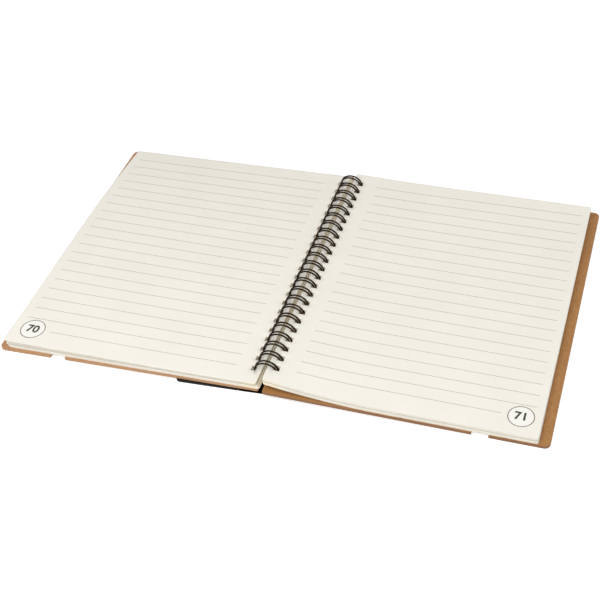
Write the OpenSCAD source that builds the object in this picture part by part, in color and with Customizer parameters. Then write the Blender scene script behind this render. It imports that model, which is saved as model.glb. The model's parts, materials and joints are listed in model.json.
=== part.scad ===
// Hard-cover notebook on a twin-loop wire, lying open near its middle.
// X runs across the open spread, Y from the foot of the page to its head, Z up.
// The origin is on the table, under the middle of the wire.

/* [Leaves] */
// Width of a leaf, from its bound edge to its fore-edge
page_w = 164.5; // [120:0.5:200]
// Height of a leaf, from foot to head
page_h = 208; // [200:0.5:216]
// Radius of the two outer corners of a leaf
page_corner_r = 1.5; // [0.5:0.1:5]
// Thickness of the leaves that lie on the left
left_t = 3.5; // [1:0.1:3.6]
// Thickness of the leaves that lie on the right
right_t = 4.4; // [1:0.1:4.5]
// Strip of paper left between the bound edge and the punched holes
leaf_margin = 3.5; // [2.5:0.1:3.6]

/* [Boards] */
// Width of a cover board
board_w = 171; // [130:0.5:210]
// Height of a cover board
board_h = 214; // [206:0.5:222]
// Thickness of a cover board
board_t = 2; // [1:0.1:2.2]
// Radius of the two outer corners of a board
board_corner_r = 6; // [2:0.5:12]
// Radius of the two corners at the bound edge of a board
board_inner_r = 1.2; // [0.5:0.1:2]
// Gap between the bound edges of the two boards
board_gap = 2.8; // [1:0.1:3]
// Strip of board left between the bound edge and the punched holes
board_margin = 2.3; // [1.6:0.1:2.5]

/* [Elastic notches] */
// Width of the notch for an elastic band, in the foot and head edges
notch_w = 10; // [6:0.5:14]
// Depth of the notch
notch_depth = 3.6; // [2:0.1:5]
// Distance from the middle of the notch to the fore-edge of the board
notch_from_edge = 40; // [25:1:60]
// Radius in the inner corners of the notch
notch_r = 1.2; // [0.5:0.1:1.8]

/* [Punched holes] */
// Size of a square hole in a leaf
hole = 4; // [3.8:0.1:4.4]
// Size of a square hole in a board
board_hole = 4.2; // [4:0.1:4.6]

/* [Wire] */
// Number of twin loops
loops = 23; // [10:1:23]
// Distance from one twin loop to the next
pitch = 8.467; // [8:0.001:8.6]
// Radius of a loop, at the middle of the wire
loop_r = 7.8; // [7.7:0.05:8.2]
// Thickness of the wire
wire_d = 1.2; // [0.9:0.05:1.3]
// Distance between the two wires of one twin loop
twin_gap = 2.6; // [2.2:0.05:2.6]
// Where the closed tips of the loops stop, as an angle under the level of the axis
tip_angle = 64.77; // [61:0.01:66]

/* [Wrap-round flap] */
// Reach of the flap to the left of the wire
flap_reach = 52.5; // [40:0.5:80]
// Thickness of the flexible hinge under the wire
hinge_t = 0.5; // [0.3:0.05:0.6]
// Distance from the wire to the stiff panel, left flexible so that it wraps the spine
hinge_reach = 14; // [10:0.5:20]
// Radius of the two free corners of the flap
flap_corner_r = 6; // [2:0.5:12]
// Width of the strip that is glued under the back board
glue_w = 15; // [8:0.5:25]
// Where the glued strip starts, measured from the wire, outside the punched holes
glue_from = 9.5; // [8.5:0.5:14]

/* [Clearances] */
// Running gap between the wire and the edge of a board hole that rests on it
wire_clear = 0.05; // [0.02:0.01:0.15]
// Gap under leaves that rest on a board, and under a board that rests on the panel
rest_gap = 0.05; // [0.02:0.01:0.1]
// Gap between the wire and the near edge of a leaf hole
leaf_clear = 0.15; // [0.1:0.05:0.3]
// Play left beyond the wire in the holes of the right leaves
right_play = 0.5; // [0.3:0.05:0.8]
// Gap between the turns of the wire and the slope of the flap
turn_clear = 0.4; // [0.2:0.1:1]

/* [Hidden] */
$fn = 96;
wire_r = wire_d / 2;
axis_z = hinge_t + wire_r + loop_r;
inner_r = loop_r - wire_r;
board_in = board_gap / 2;
board_out = board_in + board_w;
board_hole_in = board_in + board_margin;
// Height of the boards where the edge of a hole rests on the wire, and the tilt that follows
raise = axis_z - sqrt(pow(inner_r, 2) - pow(board_hole_in, 2)) + wire_clear;
tilt = asin(raise / (board_out - board_hole_in));
// Underside of the leaves, measured from the underside of their board
leaf_z = board_t + rest_gap;
// Axis and leaves, measured square to the board
axis_above = axis_z * cos(tilt) - board_out * sin(tilt);
leaf_depth = axis_above - leaf_z;
// The wire leans inwards under the leaves, so the left leaves hang at its inner side
wire_x = sqrt(pow(loop_r, 2) - pow(leaf_depth, 2));
left_hole_in = wire_x - wire_r * loop_r / wire_x - leaf_clear;
// The right leaves are pulled in until the far edge of their holes is near the wire
right_hole_in = loop_r + wire_r + right_play - hole;
left_in = left_hole_in - leaf_margin;
right_in = right_hole_in - leaf_margin;
first_loop_y = -(loops - 1) * pitch / 2;
// The hinge lies flat as far as the wire turns that stand on it
hinge_flat = (pitch - twin_gap) / 2 + wire_r + turn_clear;
// The front board comes down onto the free edge of the stiff panel, whatever its reach
panel_t = (board_out - flap_reach) * sin(tilt) - rest_gap;
cut = 1;

// Y of twin loop number i
function loop_y(i) = first_loop_y + i * pitch;

// Carries flat pieces, drawn outwards from the wire, down to the table at the fore-edge
module on_right() {
    translate([board_out, 0, 0])
        rotate([0, tilt, 0])
            translate([-board_out, 0, 0])
                children();
}

module on_left() {
    mirror([1, 0, 0])
        on_right()
            children();
}

// Outline with its bound edge at x0, and its own radius at the bound and the outer corners
module outline(x0, w, h, r_in, r_out) {
    translate([x0 + r_in, -h / 2])
        square([w - r_in - r_out, h]);
    translate([x0, -h / 2 + r_in])
        square([r_in, h - 2 * r_in]);
    translate([x0 + w - r_out, -h / 2 + r_out])
        square([r_out, h - 2 * r_out]);
    for (s = [-1, 1]) {
        translate([x0 + r_in, s * (h / 2 - r_in)])
            circle(r_in);
        translate([x0 + w - r_out, s * (h / 2 - r_out)])
            circle(r_out);
    }
}

// Row of square holes, one for each twin loop
module hole_row(x0, size) {
    for (i = [0 : loops - 1])
        translate([x0, loop_y(i) - size / 2])
            square(size);
}

// Notch with rounded inner corners, cut inwards from an edge at y = 0 towards +Y
module notch() {
    translate([-notch_w / 2, -cut])
        square([notch_w, notch_depth - notch_r + cut]);
    translate([-notch_w / 2 + notch_r, -cut])
        square([notch_w - 2 * notch_r, notch_depth + cut]);
    for (s = [-1, 1])
        translate([s * (notch_w / 2 - notch_r), notch_depth - notch_r])
            circle(notch_r);
}

// One cover board, flat, with its holes and its two notches
module cover_board() {
    linear_extrude(board_t)
        difference() {
            outline(board_in, board_w, board_h, board_inner_r, board_corner_r);
            hole_row(board_hole_in, board_hole);
            for (s = [0, 1])
                mirror([0, s])
                    translate([board_out - notch_from_edge, -board_h / 2])
                        notch();
        }
}

// One stack of leaves, flat, on top of a board
module leaves(x0, hole_in, t) {
    translate([0, 0, leaf_z])
        linear_extrude(t)
            difference() {
                outline(x0, page_w, page_h, page_corner_r, page_corner_r);
                hole_row(hole_in, hole);
            }
}

// Half turn of wire that joins two parallel runs, in the plane that touches the loop at angle a
module wire_turn(y, a, half_gap, way) {
    translate([0, y, axis_z])
        rotate([90, 0, 0])
            rotate([0, 0, a])
                translate([loop_r, 0, 0])
                    rotate([0, 90, 0])
                        rotate([0, 0, way])
                            rotate_extrude(angle = 180)
                                translate([half_gap, 0])
                                    circle(wire_r);
}

// One run of wire round the loop, from its tip to the bottom of the ring
module wire_run(y) {
    translate([0, y, axis_z])
        rotate([90, 0, 0])
            rotate([0, 0, -tip_angle])
                rotate_extrude(angle = 270 + tip_angle)
                    translate([loop_r, 0])
                        circle(wire_r);
}

// Cross-section of the flap: glued strip, slope under the holes, hinge and stiff panel
module flap_section() {
    glue_to = glue_from + glue_w;
    under_from = (board_out - glue_from) * sin(tilt);
    under_to = (board_out - glue_to) * sin(tilt);
    polygon([
        [-hinge_reach, 0],
        [hinge_flat, 0],
        [glue_from, under_from - hinge_t],
        [glue_to, under_to - hinge_t],
        [glue_to, under_to],
        [glue_from, under_from],
        [hinge_flat, hinge_t],
        [-hinge_reach, hinge_t]
    ]);
}

module back_board() {
    color("#b98a5c")
        on_right()
            cover_board();
}

module front_board() {
    color("#b98a5c")
        on_left()
            cover_board();
}

module right_pages() {
    color("#efece0")
        on_right()
            leaves(right_in, right_hole_in, right_t);
}

module left_pages() {
    color("#efece0")
        on_left()
            leaves(left_in, left_hole_in, left_t);
}

module spine_flap() {
    color("#1c1a19") {
        translate([0, board_h / 2, 0])
            rotate([90, 0, 0])
                linear_extrude(board_h)
                    flap_section();
        mirror([1, 0, 0])
            linear_extrude(panel_t)
                outline(hinge_reach, flap_reach - hinge_reach, board_h, board_inner_r, flap_corner_r);
    }
}

module wire_binding() {
    color("#2a2622")
        for (i = [0 : loops - 1]) {
            for (s = [-1, 1])
                wire_run(loop_y(i) + s * twin_gap / 2);
            wire_turn(loop_y(i), -tip_angle, twin_gap / 2, 180);
            if (i < loops - 1)
                wire_turn(loop_y(i) + pitch / 2, -90, (pitch - twin_gap) / 2, 0);
        }
}

back_board();
spine_flap();
wire_binding();
right_pages();
front_board();
left_pages();
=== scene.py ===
import json
import math
import random
from collections import namedtuple

import bpy
from mathutils import Matrix, Vector

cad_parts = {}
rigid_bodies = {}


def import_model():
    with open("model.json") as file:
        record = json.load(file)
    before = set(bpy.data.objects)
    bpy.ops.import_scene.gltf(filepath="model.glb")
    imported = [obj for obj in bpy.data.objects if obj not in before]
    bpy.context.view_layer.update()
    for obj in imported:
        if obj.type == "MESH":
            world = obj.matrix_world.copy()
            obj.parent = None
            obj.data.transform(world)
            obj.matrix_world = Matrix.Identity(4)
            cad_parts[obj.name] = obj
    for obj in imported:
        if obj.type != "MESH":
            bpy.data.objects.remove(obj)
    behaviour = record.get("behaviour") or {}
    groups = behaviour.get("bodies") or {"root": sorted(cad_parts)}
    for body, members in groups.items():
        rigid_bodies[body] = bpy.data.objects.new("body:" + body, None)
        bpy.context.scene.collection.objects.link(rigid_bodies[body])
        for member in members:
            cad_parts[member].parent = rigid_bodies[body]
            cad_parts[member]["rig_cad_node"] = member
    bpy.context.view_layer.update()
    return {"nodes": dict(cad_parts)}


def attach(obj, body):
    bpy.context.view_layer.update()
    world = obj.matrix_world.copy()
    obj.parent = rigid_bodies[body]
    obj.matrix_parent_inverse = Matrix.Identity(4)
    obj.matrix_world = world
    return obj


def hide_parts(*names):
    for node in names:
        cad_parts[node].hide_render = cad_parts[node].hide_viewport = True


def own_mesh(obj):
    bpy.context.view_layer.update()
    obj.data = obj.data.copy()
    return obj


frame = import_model()

MM = 0.001

# Sizes of the notebook, in millimetres, as in its solids; x is measured outwards from the wire
LOOPS = 23
PITCH = 8.467
TIP_ANGLE = math.radians(64.77)
TWIN_GAP = 2.6
BOARD_OUT = 172.4
BOARD_H = 214.0
BOARD_CORNER_R = 6.0
TILT = math.radians(0.94197)
PAGE_W = 164.5
PAGE_H = 208.0
PAGE_CORNER_R = 1.5
HOLE = 4.0
LEAF_Z = 2.05
RIGHT_T = 4.4
LEFT_T = 3.5
FLAP_REACH = 52.5
FLAP_CORNER_R = 6.0

# Boards as seen: tighter outer corners, and a front board whose fore-edge and foot edge run askew.
# Here and below, a span gives where an effect starts and where it is full
SEEN_CORNER_R = 3.6
ASKEW = 0.008
FOOT_ASKEW = 1.6
FOOT_ASKEW_SPAN = (160.0, 60.0)
FOOT_BAND = 10.0
BOARD_BEVEL = 0.3
# A point this close to where a rounded corner starts counts as in the corner
CORNER_SLACK = 0.01
# Share of a face's direction that is square to its board: a cut edge has less than the first, and the
# rounded edges lie between the other two
CUT_FACE = 0.75
ROUNDED_FACE = (0.02, 0.999)
# Faces that turn by less than the first angle become one, and an edge sharper than the second is rounded
FLAT_WITHIN = math.radians(0.4)
SHARP_FROM = math.radians(40)

# Flap as seen: it reaches further out and stops short of the ends of the boards, more so where it is glued
SEEN_FLAP_CORNER_R = 2.5
SEEN_FLAP_FURTHER = 1.8
PANEL_SHORT = 0.3
GLUED_SHORT = 3.0
GLUED_SPAN = (-45.0, 8.0)
FLAP_BEVEL = 0.22
# Faces of the flap under this many square millimetres belong to its rounded edges
NARROW_FACE = 200.0

# Wire as seen: thinner, smaller and lower than its solid
LOOP_R = 7.35
WIRE_R = 0.55
LOOP_X = 0.4
LOOP_Z = 8.35
WIRE_SIDES = 14
RUN_STEPS = 56
TIP_STEPS = 10
TURN_STEPS = 14
# The two runs of a loop stand closer over the top than at the feet, between these heights
RUNS_CLOSER = 0.12
CLOSER_SPAN = (3.5, 12.5)

# One side of the open book: way it lies, bound edge, holes, foot and head edge, and how far its print
# sits towards the head everywhere, more so towards the outer head corner, and outwards beside the wire
Side = namedtuple("Side", "way x_in hole_in hole_w ends print_up print_fan print_out")
RIGHT = Side(way=1, x_in=1.4, hole_in=4.9, hole_w=HOLE, ends=(-106.4, 104.0),
             print_up=0.6, print_fan=0.017, print_out=0.6)
# The holes of the left leaves are as wide as they show beside the wire
LEFT = Side(way=-1, x_in=2.34, hole_in=5.84, hole_w=3.1, ends=(-105.4, 102.7),
            print_up=0.0, print_fan=0.0, print_out=0.0)

# The uppermost left leaves, which fan open towards the fore-edge, and their gap over the flat block
LEFT_FAN_T = 0.8
FAN_GAP = 0.01
# Number of layers of each stack, spacing of its grid, and how far a layer slips at random
RIGHT_LAYERS = 18
BLOCK_LAYERS = 12
FAN_LAYERS = 8
COLUMN_STEP = 4.0
ROW_STEP = 5.0
SLIP = 0.14
# How level a face of a flat stack has to be to count as a page
PAGE_FACE = 0.9
# The wider gap that shows in the cut edges, above the leaves' board, where a line of painted shade lies
GAP_SHADE_Z = 4.7
GAP_SHADE_HALF = 0.75

# How the right leaves lie. They rise at the wire: by so much at mid-height, with a slope and a bend
# towards the head, over this reach
RISE = 2.2
RISE_SLOPE = -1.3
RISE_BEND = 0.5
RISE_REACH = 62.0
LOOSE = 0.05
# The head curls up at the fore-edge, the lowest leaf by a share of it
HEAD_CURL = 2.2
LOWEST_CURL = 0.35
RIGHT_SLIDE = 0.2
RIGHT_SLIDE_SLOPE = 0.45
# Below the last hole the foot is drawn in towards the head near the wire
FOOT_DRAWN = 2.0
FOOT_DRAWN_SPAN = (96.0, 104.0)

# How the left leaves lie. The fan arches up at the fore-edge, most a little below mid-height
ARCH = 4.3
ARCH_POWER = 1.2
ARCH_SHIFT = 0.12
ARCH_WIDTH = 1.3
FOOT_LIFT = 0.8
LEFT_RISE = 0.45
LEFT_RISE_REACH = 70.0
FAN_SLIDE = 1.15
FAN_SLIDE_HEAD = -0.95
FAN_SLIDE_FOOT = 1.45
# The lower leaves of the block sit further in round the wire, and its outer foot corner stands out
BLOCK_IN = 1.9
BLOCK_IN_FADE = 0.8
BLOCK_CORNER = 1.9
LOWEST_CORNER = 0.4

# Print on a page, in millimetres: x from the wire outwards, y from the middle of the page
RULE_PITCH = 9.215
RULE_COUNT = 21
RULE_LOWEST = -92.7
RULE_HALF = 0.17
RULE_START = 18.5
RULE_END = 161.1
RULE_LOWEST_END = 141.6
RING_X = 153.4
RING_Y = -92.7
RING_R = 7.6
RING_HALF = 0.27
# Page number in the ring: size of its letters, how bold and thick they are at size 1, and how far they
# stand over the page
NUMBER_SIZE = 8.2
NUMBER_BOLD = 0.026
NUMBER_THICK = 0.004
NUMBER_LIFT = 0.035

# Camera, fitted to the ruled lines, page corners and loops of the photograph: turn, height and roll in
# degrees, millimetres, and pixels of a square picture
CAMERA_ANGLES = (19.008, 41.887, -4.056)
CAMERA_TARGET = (17.034, -0.597, 0.35)
CAMERA_DISTANCE = 802.815
PICTURE_PIXELS = 600
FOCAL_PIXELS = 1230.914
SHIFT_PIXELS = (-37.366, -15.883)
SENSOR = 36

# Soft lights: name, place, aim, size in metres, watts
LAMPS = (
    ("key softbox", (-0.13, -0.65, 0.85), (-0.02, -0.05, 0.0), 0.8, 7.5),
    ("right softbox", (0.7, 0.0, 1.2), (0.0, 0.0, 0.0), 0.9, 4.2),
)
SKY_STRENGTH = 0.34
FLOOR_GLOW = 0.55
# The floor in metres, a hair under the notebook
FLOOR_SIZE = 12.0
FLOOR_Z = -0.0001
WHITE = (1.0, 1.0, 1.0, 1.0)


def rgb(red, green, blue):
    # A colour given as on a screen, 0 to 255, made linear
    linear = []
    for value in (red, green, blue):
        value /= 255
        linear.append(value / 12.92 if value < 0.04045 else ((value + 0.055) / 1.055) ** 2.4)
    return (*linear, 1.0)


def faded(value, low, high):
    # 0 at low, 1 at high, straight between them and level beyond
    return min(max((value - low) / (high - low), 0.0), 1.0)


def only(piece):
    bpy.ops.object.select_all(action="DESELECT")
    piece.select_set(True)
    bpy.context.view_layer.objects.active = piece


def edit(piece):
    only(piece)
    bpy.ops.object.mode_set(mode="EDIT")
    bpy.ops.mesh.select_mode(type="FACE")
    bpy.ops.mesh.select_all(action="SELECT")


def done():
    bpy.ops.object.mode_set(mode="OBJECT")


def on_side(way, x, y, z):
    # From a flat place on a board, z up from the board's underside, to the tilted board
    out = BOARD_OUT + (x - BOARD_OUT) * math.cos(TILT) + z * math.sin(TILT)
    up = (BOARD_OUT - x) * math.sin(TILT) + z * math.cos(TILT)
    return Vector((way * out, y, up)) * MM


# Materials

def add(tree, kind, inputs=(), **settings):
    made = tree.nodes.new("ShaderNode" + kind)
    for name, value in settings.items():
        setattr(made, name, value)
    for name, value in dict(inputs).items():
        if isinstance(value, bpy.types.NodeSocket):
            tree.links.new(value, made.inputs[name])
        else:
            made.inputs[name].default_value = value
    return made


def math_node(tree, operation, first, second=0.0):
    return add(tree, "Math", {0: first, 1: second}, operation=operation).outputs[0]


def mixed(tree, factor, first, second):
    made = add(tree, "Mix", {0: factor, 6: first, 7: second}, data_type="RGBA")
    return made.outputs[2]


def ramp(tree, value, low, high):
    # 0 below low, 1 above high, straight between them
    made = add(tree, "MapRange", {"Value": value, "From Min": low, "From Max": high})
    return made.outputs["Result"]


def noise(tree, place, scale, detail):
    return add(tree, "TexNoise", {"Vector": place, "Scale": scale, "Detail": detail}).outputs


def new_group(name, inputs, outputs):
    group = bpy.data.node_groups.new(name, "ShaderNodeTree")
    for socket, kind, value in inputs:
        made = group.interface.new_socket(name=socket, in_out="INPUT", socket_type="NodeSocket" + kind)
        if value is not None:
            made.default_value = value
    for socket in outputs:
        group.interface.new_socket(name=socket, in_out="OUTPUT", socket_type="NodeSocketFloat")
    source = group.nodes.new("NodeGroupInput").outputs
    sink = group.nodes.new("NodeGroupOutput").inputs
    return group, source, sink


def fibre_group():
    # Short fibres that lie in two directions, larger clouds and a few specks
    group, source, sink = new_group(
        "paper fibres", [("Place", "Vector", None), ("Length", "Float", 250.0)],
        ["Fibre", "Cloud", "Speck"])
    runs = []
    for along in ((1.0, 9.0, 9.0), (9.0, 1.0, 9.0)):
        turned = add(group, "Mapping", {
            "Vector": source["Place"], "Rotation": (0.0, 0.0, 0.35), "Scale": along})
        runs.append(add(group, "TexNoise", {
            "Vector": turned.outputs[0], "Scale": source["Length"], "Detail": 3.0, "Roughness": 0.6}))
    both = math_node(group, "ADD", runs[0].outputs[0], runs[1].outputs[0])
    group.links.new(math_node(group, "MULTIPLY", both, 0.5), sink["Fibre"])
    group.links.new(noise(group, source["Place"], 38.0, 4.0)[0], sink["Cloud"])
    fine = math_node(group, "MULTIPLY", source["Length"], 9.0)
    speck = noise(group, source["Place"], fine, 1.0)[0]
    group.links.new(ramp(group, speck, 0.66, 0.74), sink["Speck"])
    return group


def print_group():
    # Masks of the ruled lines and of the ring round the page number, from the page's own map
    group, source, sink = new_group("page print", [("Page", "Vector", None)], ["Line", "Ring", "Disc"])
    place = add(group, "SeparateXYZ", {0: source["Page"]}).outputs
    x, y = place[0], place[1]
    row = math_node(group, "DIVIDE", math_node(group, "SUBTRACT", y, RULE_LOWEST * MM), RULE_PITCH * MM)
    off = math_node(group, "ABSOLUTE", math_node(group, "SUBTRACT", row, math_node(group, "ROUND", row)))
    line = math_node(group, "LESS_THAN", off, RULE_HALF / RULE_PITCH)
    lowest = math_node(group, "LESS_THAN", row, 0.5)
    shorter = math_node(group, "MULTIPLY", lowest, (RULE_END - RULE_LOWEST_END) * MM)
    end = math_node(group, "SUBTRACT", RULE_END * MM, shorter)
    for limit in (
        math_node(group, "GREATER_THAN", row, -0.5),
        math_node(group, "LESS_THAN", row, RULE_COUNT - 0.5),
        math_node(group, "GREATER_THAN", x, RULE_START * MM),
        math_node(group, "LESS_THAN", x, end),
    ):
        line = math_node(group, "MULTIPLY", line, limit)
    centre = (RING_X * MM, RING_Y * MM, 0.0)
    away = add(group, "VectorMath", {0: source["Page"], 1: centre}, operation="DISTANCE").outputs["Value"]
    from_ring = math_node(group, "ABSOLUTE", math_node(group, "SUBTRACT", away, RING_R * MM))
    group.links.new(line, sink["Line"])
    group.links.new(math_node(group, "LESS_THAN", from_ring, RING_HALF * MM), sink["Ring"])
    group.links.new(math_node(group, "LESS_THAN", away, RING_R * MM), sink["Disc"])
    return group


def grain_group():
    # Pebbled grain of leatherette: small cells with creases between them
    group, source, sink = new_group(
        "pebbled grain", [("Place", "Vector", None), ("Scale", "Float", 1300.0)], ["Height", "Wear"])
    bent = noise(group, source["Place"], 600.0, 2.0)["Color"]
    shift = add(group, "VectorMath", {0: bent, 1: (0.0006, 0.0006, 0.0006)}, operation="MULTIPLY")
    moved = add(group, "VectorMath", {0: source["Place"], 1: shift.outputs[0]}, operation="ADD")
    cells = add(group, "TexVoronoi", {"Vector": moved.outputs[0], "Scale": source["Scale"]},
                feature="SMOOTH_F1")
    group.links.new(math_node(group, "SUBTRACT", 1.0, cells.outputs["Distance"]), sink["Height"])
    group.links.new(ramp(group, noise(group, source["Place"], 60.0, 5.0)[0], 0.45, 0.75), sink["Wear"])
    return group


FIBRES = fibre_group()
PRINT = print_group()
GRAIN = grain_group()


def new_material(name, **constants):
    material = bpy.data.materials.new(name)
    material.use_nodes = True
    tree = material.node_tree
    shader = tree.nodes["Principled BSDF"]
    for socket, value in constants.items():
        shader.inputs[socket.replace("_", " ")].default_value = value
    return material, tree, shader


def object_place(tree):
    return add(tree, "TexCoord").outputs["Object"]


def page_place(tree):
    return add(tree, "UVMap", uv_map="page").outputs[0]


def group_node(tree, group, inputs):
    return add(tree, "Group", inputs, node_tree=group).outputs


def bump(tree, shader, height, strength, distance):
    made = add(tree, "Bump", {"Height": height, "Strength": strength, "Distance": distance})
    tree.links.new(made.outputs[0], shader.inputs["Normal"])


def kraft(name, pale, dark, speck, length):
    material, tree, shader = new_material(name)
    fibres = group_node(tree, FIBRES, {"Place": object_place(tree), "Length": length})
    colour = mixed(tree, ramp(tree, fibres["Fibre"], 0.36, 0.64), dark, pale)
    clouds = mixed(tree, ramp(tree, fibres["Cloud"], 0.3, 0.75), colour, dark)
    colour = mixed(tree, 0.35, colour, clouds)
    colour = mixed(tree, fibres["Speck"], colour, speck)
    tree.links.new(colour, shader.inputs["Base Color"])
    tree.links.new(ramp(tree, fibres["Fibre"], 1.9, -0.4), shader.inputs["Roughness"])
    bump(tree, shader, fibres["Fibre"], 0.35, 0.00012)
    return material


def ruled_paper():
    material, tree, shader = new_material("ruled page", Roughness=0.72)
    fibres = group_node(tree, FIBRES, {"Place": object_place(tree), "Length": 420.0})
    pale, deep, fibre = rgb(247, 243, 233), rgb(243, 239, 228), rgb(238, 234, 221)
    colour = mixed(tree, ramp(tree, fibres["Cloud"], 0.3, 0.7), pale, deep)
    colour = mixed(tree, math_node(tree, "MULTIPLY", fibres["Fibre"], 0.35), colour, fibre)
    masks = group_node(tree, PRINT, {"Page": page_place(tree)})
    colour = mixed(tree, math_node(tree, "MULTIPLY", masks["Disc"], 0.6), colour, rgb(252, 251, 247))
    colour = mixed(tree, masks["Line"], colour, rgb(168, 165, 156))
    colour = mixed(tree, masks["Ring"], colour, rgb(104, 96, 84))
    tree.links.new(colour, shader.inputs["Base Color"])
    bump(tree, shader, fibres["Fibre"], 0.12, 0.00005)
    return material


def leaf_edges():
    # Cut edges of many leaves: thin gaps between them darkened with painted shade, from the depth in the
    # stack
    material, tree, shader = new_material("leaf edges", Roughness=0.85)
    place = object_place(tree)
    depth = add(tree, "SeparateXYZ", {0: page_place(tree)}).outputs[1]
    layers = add(tree, "TexNoise", {
        "W": math_node(tree, "MULTIPLY", depth, 5200.0), "Scale": 1.0, "Detail": 2.0},
        noise_dimensions="1D").outputs[0]
    waver = noise(tree, place, 90.0, 2.0)[0]
    gap = math_node(tree, "MULTIPLY", ramp(tree, layers, 0.5, 0.72), waver)
    # Warmer in the gutter and in the holes, where the light comes off other paper
    across = math_node(tree, "ABSOLUTE", add(tree, "SeparateXYZ", {0: place}).outputs[0])
    near_wire = ramp(tree, across, 0.016, 0.009)
    pale = mixed(tree, near_wire, rgb(245, 240, 228), rgb(250, 240, 217))
    # The second colour is the painted shade in the gaps between the leaves
    dark = mixed(tree, near_wire, rgb(186, 176, 156), rgb(198, 184, 152))
    colour = mixed(tree, gap, pale, dark)
    # Painted shade in one wider gap, under the few leaves that are lifted
    from_gap = math_node(tree, "ABSOLUTE", math_node(tree, "SUBTRACT", depth, GAP_SHADE_Z * MM))
    wide_gap_shade = ramp(tree, from_gap, GAP_SHADE_HALF * MM, 0.0)
    colour = mixed(tree, math_node(tree, "MULTIPLY", wide_gap_shade, 0.55), colour, rgb(160, 153, 134))
    tree.links.new(colour, shader.inputs["Base Color"])
    bump(tree, shader, layers, 0.4, 0.0001)
    return material


def leatherette():
    material, tree, shader = new_material("black leatherette", Specular_IOR_Level=0.15)
    grain = group_node(tree, GRAIN, {"Place": object_place(tree), "Scale": 1300.0})
    colour = mixed(tree, math_node(tree, "MULTIPLY", grain["Wear"], 0.5), rgb(10, 7, 6), rgb(20, 14, 12))
    tree.links.new(colour, shader.inputs["Base Color"])
    tree.links.new(ramp(tree, grain["Height"], -0.6, 1.9), shader.inputs["Roughness"])
    bump(tree, shader, grain["Height"], 0.5, 0.00012)
    return material


def coated_wire():
    material, tree, shader = new_material(
        "black coated wire", Coat_Weight=0.02, Coat_Roughness=0.25, Specular_IOR_Level=0.12,
        Specular_Tint=(1.0, 0.84, 0.6, 1.0))
    grain = group_node(tree, GRAIN, {"Place": object_place(tree), "Scale": 900.0})
    colour = mixed(tree, grain["Wear"], rgb(30, 19, 9), rgb(50, 35, 20))
    tree.links.new(colour, shader.inputs["Base Color"])
    tree.links.new(ramp(tree, grain["Wear"], -0.7, 2.2), shader.inputs["Roughness"])
    bump(tree, shader, grain["Height"], 0.08, 0.00004)
    return material


def page_ink():
    material, tree, shader = new_material("page ink", Roughness=0.6)
    blot = noise(tree, object_place(tree), 2500.0, 2.0)[0]
    colour = mixed(tree, blot, rgb(46, 42, 38), rgb(66, 60, 54))
    tree.links.new(colour, shader.inputs["Base Color"])
    return material


# Both boards are one kraft. The back board's copies are darker and redder, painted shade where the lifted
# right leaves overhang it, and darker still on its cut edges. The front board's copies are the lighter
# ones.
SHADED_BACK_FACE = kraft("back board", rgb(181, 132, 75), rgb(152, 103, 54), rgb(104, 64, 34), 250.0)
SHADED_BACK_CUT = kraft("back board cut edge", rgb(160, 116, 78), rgb(118, 78, 48), rgb(88, 54, 32), 500.0)
FRONT_FACE = kraft("front board", rgb(202, 158, 116), rgb(174, 126, 84), rgb(124, 82, 50), 250.0)
FRONT_CUT = kraft("front board cut edge", rgb(206, 164, 124), rgb(170, 124, 84), rgb(116, 76, 46), 500.0)
PAGE = ruled_paper()
LEAF_EDGES = leaf_edges()
LEATHERETTE = leatherette()
WIRE = coated_wire()
INK = page_ink()


# Boards and flap, from their own solids

def copy_of(node, name, bevel, segments):
    only(frame["nodes"][node])
    bpy.ops.object.duplicate()
    piece = bpy.context.object
    piece.name = name
    del piece["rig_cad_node"]
    edit(piece)
    bpy.ops.mesh.remove_doubles(threshold=0.00001)
    bpy.ops.mesh.dissolve_limited(angle_limit=FLAT_WITHIN)
    done()
    rounded = piece.modifiers.new("rounded edges", "BEVEL")
    rounded.width = bevel * MM
    rounded.segments = segments
    rounded.limit_method = "ANGLE"
    rounded.angle_limit = SHARP_FROM
    bpy.ops.object.modifier_apply(modifier=rounded.name)
    piece.data.materials.clear()
    return piece


def tightened(x, y, x_out, corner_r, seen_r):
    # Draws the outer corners of a board or of the flap out, from their solid's radius to the seen one
    past_x = x - (x_out - corner_r)
    past_y = abs(y) - (BOARD_H / 2 - corner_r)
    if min(past_x, past_y) > -CORNER_SLACK:
        x += (corner_r - seen_r) * (1.0 - past_x / corner_r)
        y += math.copysign((corner_r - seen_r) * (1.0 - past_y / corner_r), y)
    return x, y


def cover_board(node, name, body, way, face_kraft, cut_kraft, askew, foot_askew):
    piece = copy_of(node, name, BOARD_BEVEL, 2)
    piece.data.materials.append(face_kraft)
    piece.data.materials.append(cut_kraft)
    for vertex in piece.data.vertices:
        x, y = way * vertex.co.x / MM, vertex.co.y / MM
        x, y = tightened(x, y, BOARD_OUT, BOARD_CORNER_R, SEEN_CORNER_R)
        x -= askew * min(y, 0.0) * x / BOARD_OUT
        if y < -BOARD_H / 2 + FOOT_BAND:
            y += foot_askew * faded(x, *FOOT_ASKEW_SPAN)
        vertex.co.x = way * x * MM
        vertex.co.y = y * MM
    square = Vector((way * math.sin(TILT), 0.0, math.cos(TILT)))
    for face in piece.data.polygons:
        across = abs(face.normal.dot(square))
        face.material_index = 1 if across < CUT_FACE else 0
        face.use_smooth = ROUNDED_FACE[0] < across < ROUNDED_FACE[1]
    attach(piece, body)
    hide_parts(node)


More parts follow.
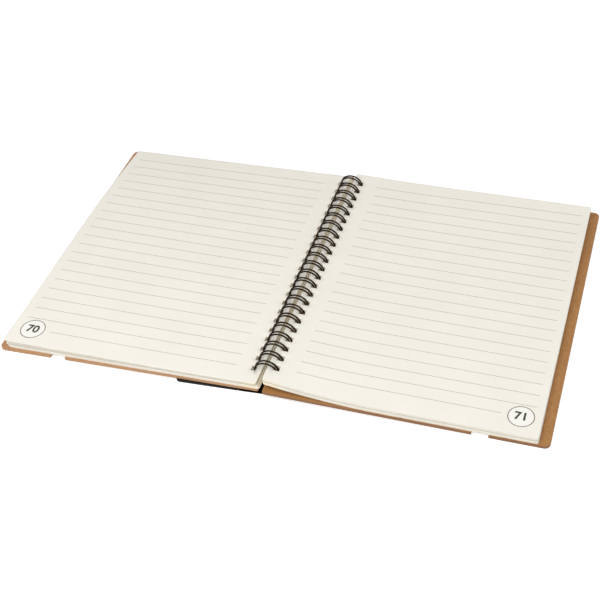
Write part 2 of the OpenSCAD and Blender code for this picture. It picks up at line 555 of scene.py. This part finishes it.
def wrap_flap():
    piece = copy_of("spine_flap", "flap", FLAP_BEVEL, 3)
    piece.data.materials.append(LEATHERETTE)
    for vertex in piece.data.vertices:
        x, y = -vertex.co.x / MM, vertex.co.y / MM
        x, y = tightened(x, y, FLAP_REACH, FLAP_CORNER_R, SEEN_FLAP_CORNER_R)
        if x > FLAP_REACH - FLAP_CORNER_R - CORNER_SLACK:
            x += SEEN_FLAP_FURTHER
        short = PANEL_SHORT + (GLUED_SHORT - PANEL_SHORT) * faded(-x, *GLUED_SPAN)
        vertex.co.x = -x * MM
        vertex.co.y = (y - math.copysign(short, y)) * MM
    for face in piece.data.polygons:
        face.use_smooth = face.area < NARROW_FACE * MM * MM
    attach(piece, "back_cover")
    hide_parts("spine_flap")


# Wire

def tube_ring(y):
    # Cross-section of the wire at the foot of a loop, selected and ready to be swung
    bpy.ops.object.select_all(action="DESELECT")
    bpy.ops.mesh.primitive_circle_add(
        vertices=WIRE_SIDES, radius=WIRE_R * MM, fill_type="NOTHING",
        location=(LOOP_X * MM, y * MM, (LOOP_Z - LOOP_R) * MM), rotation=(0.0, math.radians(90), 0.0))
    bpy.ops.object.transform_apply(location=True, rotation=True, scale=True)
    piece = bpy.context.object
    bpy.ops.object.mode_set(mode="EDIT")
    bpy.ops.mesh.select_mode(type="EDGE")
    bpy.ops.mesh.select_all(action="SELECT")
    return piece


def swing(angle, steps, centre, axis):
    # Carries the selected ring on round an axis, leaving a tube behind it
    bpy.ops.mesh.spin(steps=steps, angle=angle, center=Vector(centre) * MM, axis=axis)


def row_of(piece, count):
    only(piece)
    row = piece.modifiers.new("row", "ARRAY")
    row.count = count
    row.use_relative_offset = False
    row.use_constant_offset = True
    row.constant_offset_displace = (0.0, PITCH * MM, 0.0)
    bpy.ops.object.modifier_apply(modifier="row")


def twin_loop_wire():
    first = -(LOOPS - 1) * PITCH / 2
    half = TWIN_GAP / 2
    sweep = math.radians(270) + TIP_ANGLE
    middle = (LOOP_X, first, LOOP_Z)
    tip = (LOOP_X + LOOP_R * math.cos(TIP_ANGLE), first, LOOP_Z - LOOP_R * math.sin(TIP_ANGLE))
    wire = tube_ring(first - half)
    wire.name = "twin_loop_wire"
    swing(-sweep, RUN_STEPS, middle, (0.0, 1.0, 0.0))
    swing(-math.pi, TIP_STEPS, tip, (math.cos(TIP_ANGLE), 0.0, -math.sin(TIP_ANGLE)))
    swing(sweep, RUN_STEPS, middle, (0.0, 1.0, 0.0))
    done()
    for vertex in wire.data.vertices:
        rise = faded(vertex.co.z / MM, *CLOSER_SPAN)
        closer = RUNS_CLOSER * MM * rise * rise * (3.0 - 2.0 * rise)
        vertex.co.y += -closer if vertex.co.y > first * MM else closer
    row_of(wire, LOOPS)
    turn = tube_ring(first + half)
    swing(-math.pi, TURN_STEPS, (LOOP_X, first + PITCH / 2, LOOP_Z - LOOP_R), (0.0, 0.0, 1.0))
    done()
    row_of(turn, LOOPS - 1)
    only(wire)
    turn.select_set(True)
    bpy.ops.object.join()
    edit(wire)
    bpy.ops.mesh.select_mode(type="VERT")
    bpy.ops.mesh.select_all(action="SELECT")
    bpy.ops.mesh.remove_doubles(threshold=0.00002)
    bpy.ops.mesh.select_all(action="SELECT")
    bpy.ops.mesh.fill_holes(sides=0)
    bpy.ops.mesh.select_all(action="SELECT")
    bpy.ops.mesh.normals_make_consistent(inside=False)
    done()
    for face in wire.data.polygons:
        face.use_smooth = len(face.vertices) == 4
    wire.data.materials.append(WIRE)
    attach(wire, "back_cover")
    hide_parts("wire_binding")


# Leaves

def filled(stops, step):
    # The stops, with lines spread evenly between those that are more than a step apart
    lines = [stops[0]]
    for stop in stops[1:]:
        parts = max(1, math.ceil((stop - lines[-1]) / step))
        start = lines[-1]
        lines += [start + (stop - start) * part / parts for part in range(1, parts + 1)]
    return lines


def corner_stops(low, high):
    thirds = [PAGE_CORNER_R * share / 3 for share in range(4)]
    return [low + third for third in thirds], [high - third for third in reversed(thirds)]


def rounded_corner(x, y, x_in, ends):
    # Draws the square grid of a corner in to a quarter circle
    outwards = -1 if x < x_in + PAGE_CORNER_R else 1
    corner_x = x_in + PAGE_CORNER_R if outwards < 0 else x_in + PAGE_W - PAGE_CORNER_R
    corner_y = ends[1] - PAGE_CORNER_R if y > 0 else ends[0] + PAGE_CORNER_R
    across = outwards * (x - corner_x) / PAGE_CORNER_R
    along = (abs(y) - abs(corner_y)) / PAGE_CORNER_R
    if across <= 0 or along <= 0:
        return x, y
    round_across = across * math.sqrt(1 - along * along / 2) * PAGE_CORNER_R
    round_along = along * math.sqrt(1 - across * across / 2) * PAGE_CORNER_R
    return corner_x + outwards * round_across, corner_y + math.copysign(round_along, y)


def punched_leaves(name, side, low, thickness, layers):
    # A flat stack, layer on layer, with rounded corners and one hole for each loop
    holes = [(i - (LOOPS - 1) / 2) * PITCH for i in range(LOOPS)]
    hole_out = side.hole_in + side.hole_w
    start, end = corner_stops(side.x_in, side.x_in + PAGE_W)
    xs = filled(start + [side.hole_in, hole_out] + end, COLUMN_STEP)
    foot, head = corner_stops(*side.ends)
    hole_edges = [hole + edge for hole in holes for edge in (-HOLE / 2, HOLE / 2)]
    ys = filled(foot + hole_edges + head, ROW_STEP)
    bpy.ops.object.select_all(action="DESELECT")
    bpy.ops.mesh.primitive_grid_add(x_subdivisions=len(xs) - 1, y_subdivisions=len(ys) - 1, size=2.0)
    stack = bpy.context.object
    stack.name = name
    for vertex in stack.data.vertices:
        column = round((vertex.co.x + 1) / 2 * (len(xs) - 1))
        row = round((vertex.co.y + 1) / 2 * (len(ys) - 1))
        x, y = rounded_corner(xs[column], ys[row], side.x_in, side.ends)
        vertex.co = Vector((x, y, low)) * MM
    edit(stack)
    bpy.ops.mesh.select_all(action="DESELECT")
    done()
    for face in stack.data.polygons:
        x, y = face.center.x / MM, face.center.y / MM
        in_column = side.hole_in < x < hole_out
        face.select = in_column and any(abs(y - hole) < HOLE / 2 for hole in holes)
    bpy.ops.object.mode_set(mode="EDIT")
    bpy.ops.mesh.delete(type="FACE")
    bpy.ops.mesh.select_all(action="SELECT")
    for _ in range(layers):
        bpy.ops.mesh.extrude_region_move(
            TRANSFORM_OT_translate={"value": (0.0, 0.0, thickness / layers * MM)})
    bpy.ops.mesh.select_all(action="SELECT")
    bpy.ops.mesh.normals_make_consistent(inside=False)
    done()
    return stack


def map_print(mesh, side):
    # Flat faces are mapped to their place on the page, cut edges to their run and their depth in the stack
    page_map = mesh.uv_layers.new(name="page")
    for face in mesh.polygons:
        flat = abs(face.normal.z) > PAGE_FACE
        face.material_index = 0 if flat else 1
        face.use_smooth = flat
        for corner in face.loop_indices:
            place = mesh.vertices[mesh.loops[corner].vertex_index].co
            out = place.x / (PAGE_W * MM)
            up = side.print_up * MM + side.print_fan * max(0.0, place.y) * out
            outwards = side.print_out * MM * (1.0 - out)
            printed = (place.x - outwards, place.y - up)
            page_map.data[corner].uv = printed if flat else (place.x + place.y, place.z)


def leaf_stack(name, side, low, thickness, layers, shape, seed):
    """Leaves of one side, from height low up. shape(x, y, share) gives how far a point is lifted, slid
    outwards and drawn towards the head, where share is 0 at the lowest leaf and 1 at the uppermost."""
    stack = punched_leaves(name, side, low, thickness, layers)
    mesh = stack.data
    mesh.materials.append(PAGE)
    mesh.materials.append(LEAF_EDGES)
    map_print(mesh, side)
    draw = random.Random(seed)
    slips = [(draw.uniform(-SLIP, SLIP), draw.uniform(-SLIP, SLIP)) for _ in range(layers + 1)]
    slips[0] = slips[-1] = (0.0, 0.0)
    for vertex in mesh.vertices:
        x, y, z = vertex.co / MM
        share = (z - low) / thickness
        slip_x, slip_y = slips[round(share * layers)]
        lift, slide, drawn = shape(x, y, share)
        vertex.co = on_side(side.way, x + slip_x + slide, y + slip_y + drawn, z + lift)
    if side.way < 0:
        edit(stack)
        bpy.ops.mesh.normals_make_consistent(inside=False)
        done()
    return stack


def page_number(stack, side, text, top, shape):
    # A printed number in the ring of the uppermost page, laid on its curl
    bpy.ops.object.select_all(action="DESELECT")
    bpy.ops.object.text_add()
    letters = bpy.context.object.data
    letters.body = text
    letters.align_x = "CENTER"
    letters.align_y = "CENTER"
    letters.extrude = NUMBER_THICK
    letters.offset = NUMBER_BOLD
    bpy.ops.object.convert(target="MESH")
    number = bpy.context.object
    edit(number)
    bpy.ops.mesh.select_mode(type="VERT")
    bpy.ops.mesh.select_all(action="SELECT")
    bpy.ops.mesh.remove_doubles(threshold=0.0001)
    done()
    for vertex in number.data.vertices:
        x = RING_X + side.way * vertex.co.x * NUMBER_SIZE
        y = RING_Y + side.print_up + vertex.co.y * NUMBER_SIZE
        lift, slide = shape(x, y, 1.0)[:2]
        z = top + lift + NUMBER_LIFT + vertex.co.z * NUMBER_SIZE
        vertex.co = on_side(side.way, x + slide, y, z)
    number.data.materials.clear()
    number.data.materials.append(INK)
    only(stack)
    number.select_set(True)
    bpy.ops.object.join()


def page_share(x, y, side):
    # How far out a point lies, 0 at the bound edge and 1 at the fore-edge, and how high, -1 at the foot
    # and 1 at the head
    return (x - side.x_in) / PAGE_W, 2 * y / PAGE_H


def wire_share(x, side, reach):
    # 1 at the bound edge, fading to 0 at the end of the reach
    return max(0.0, 1.0 - (x - side.x_in) / reach) ** 2


def right_shape(x, y, share):
    # The leaves rise off the board towards the wire, most at the foot, and the head curls up a little
    out, height = page_share(x, y, RIGHT)
    near_wire = wire_share(x, RIGHT, RISE_REACH)
    rise = (RISE + RISE_SLOPE * height + RISE_BEND * height * height) * near_wire
    loose = LOOSE * (1.0 + height) * share
    head = HEAD_CURL * max(0.0, height) ** 2 * out * (LOWEST_CURL + (1.0 - LOWEST_CURL) * share)
    slide = (RIGHT_SLIDE + RIGHT_SLIDE_SLOPE * height) * out * share
    drawn = FOOT_DRAWN * faded(-y, *FOOT_DRAWN_SPAN) * math.sqrt(near_wire)
    return rise + loose + head, slide, drawn


def fan_shape(x, y, share):
    # The uppermost leaves arch up towards the middle of the fore-edge
    out, height = page_share(x, y, LEFT)
    hump = max(0.0, 1.0 - (height + ARCH_SHIFT) ** 2 / ARCH_WIDTH)
    arch = ARCH * max(0.0, out) ** ARCH_POWER * hump
    foot = FOOT_LIFT * out * max(0.0, -height) ** 2
    near_wire = LEFT_RISE * (1.0 - height) * wire_share(x, LEFT, LEFT_RISE_REACH)
    slide = FAN_SLIDE + FAN_SLIDE_HEAD * max(0.0, height) ** 3 + FAN_SLIDE_FOOT * max(0.0, -height) ** 4
    return (arch + foot + near_wire) * share, slide * out * share, 0.0


def block_shape(x, y, share):
    # Flat leaves, the lower ones further in round the wire, all of them out at the outer foot corner
    out, height = page_share(x, y, LEFT)
    out = max(0.0, out)
    inwards = BLOCK_IN * (1.0 - share) * (1.0 - BLOCK_IN_FADE * out)
    low_corner = max(0.0, -height) ** 4 * (LOWEST_CORNER + (1.0 - LOWEST_CORNER) * share)
    return 0.0, BLOCK_CORNER * out * low_corner - inwards, 0.0


def leaves():
    right = leaf_stack("right_leaves_stack", RIGHT, LEAF_Z, RIGHT_T, RIGHT_LAYERS, right_shape, 3)
    page_number(right, RIGHT, "71", LEAF_Z + RIGHT_T, right_shape)
    block_t = LEFT_T - LEFT_FAN_T
    left = leaf_stack("left_leaves_block", LEFT, LEAF_Z, block_t - FAN_GAP, BLOCK_LAYERS, block_shape, 5)
    fan = leaf_stack("left_leaves_fan", LEFT, LEAF_Z + block_t, LEFT_FAN_T, FAN_LAYERS, fan_shape, 7)
    page_number(fan, LEFT, "70", LEAF_Z + LEFT_T, fan_shape)
    for piece, body, node in (
        (right, "right_leaves", "right_pages"),
        (left, "left_leaves", "left_pages"),
        (fan, "left_leaves", "left_pages"),
    ):
        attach(piece, body)
        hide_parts(node)
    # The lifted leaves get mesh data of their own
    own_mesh(fan)
    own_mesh(right)


# Floor, light and camera

def place_camera():
    azimuth, elevation, roll = (math.radians(angle) for angle in CAMERA_ANGLES)
    level = math.cos(elevation)
    back = Vector((math.sin(azimuth) * level, -math.cos(azimuth) * level, math.sin(elevation)))
    right = Vector((0.0, 0.0, 1.0)).cross(back).normalized()
    up = back.cross(right)
    turned_right = right * math.cos(roll) + up * math.sin(roll)
    turned_up = up * math.cos(roll) - right * math.sin(roll)
    bpy.ops.object.camera_add()
    camera = bpy.context.object
    place = (Vector(CAMERA_TARGET) + back * CAMERA_DISTANCE) * MM
    turn = Matrix((turned_right, turned_up, back)).transposed().to_4x4()
    camera.matrix_world = Matrix.Translation(place) @ turn
    camera.data.lens = FOCAL_PIXELS * SENSOR / PICTURE_PIXELS
    camera.data.shift_x = SHIFT_PIXELS[0] / PICTURE_PIXELS
    camera.data.shift_y = SHIFT_PIXELS[1] / PICTURE_PIXELS
    camera.data.clip_start = 0.01
    bpy.context.scene.camera = camera


def seen_or_mirrored(tree):
    # 1 for what the camera sees or a gloss mirrors, 0 for the light that falls on the notebook
    path = add(tree, "LightPath").outputs
    return math_node(tree, "MAXIMUM", path["Is Camera Ray"], path["Is Glossy Ray"])


def white_floor():
    bpy.ops.object.select_all(action="DESELECT")
    bpy.ops.mesh.primitive_plane_add(size=FLOOR_SIZE, location=(0.0, 0.0, FLOOR_Z))
    bpy.ops.object.transform_apply(location=True)
    floor = bpy.context.object
    floor.name = "white_floor"
    material, tree, shader = new_material(
        "white floor", Roughness=0.9, Base_Color=rgb(232, 232, 232), Emission_Color=WHITE)
    glow = math_node(tree, "MULTIPLY", seen_or_mirrored(tree), FLOOR_GLOW)
    tree.links.new(glow, shader.inputs["Emission Strength"])
    floor.data.materials.append(material)


def studio_light():
    world = bpy.context.scene.world or bpy.data.worlds.new("studio")
    bpy.context.scene.world = world
    world.use_nodes = True
    tree = world.node_tree
    sky = tree.nodes["Background"]
    sky.inputs["Color"].default_value = WHITE
    strength = add(tree, "MapRange", {
        "Value": seen_or_mirrored(tree), "To Min": SKY_STRENGTH, "To Max": 1.0})
    tree.links.new(strength.outputs["Result"], sky.inputs["Strength"])
    for name, place, aim, size, power in LAMPS:
        bpy.ops.object.light_add(type="AREA", location=place)
        lamp = bpy.context.object
        lamp.name = name
        lamp.data.size = size
        lamp.data.energy = power
        lamp.rotation_mode = "QUATERNION"
        lamp.rotation_quaternion = (Vector(aim) - Vector(place)).to_track_quat("-Z", "Y")


cover_board("back_board", "kraft_back_board", "back_cover", 1, SHADED_BACK_FACE, SHADED_BACK_CUT, 0.0, 0.0)
cover_board("front_board", "kraft_front_board", "front_cover", -1, FRONT_FACE, FRONT_CUT, ASKEW, FOOT_ASKEW)
wrap_flap()
twin_loop_wire()
leaves()
white_floor()
studio_light()
place_camera()
bpy.context.scene.view_settings.view_transform = "Standard"
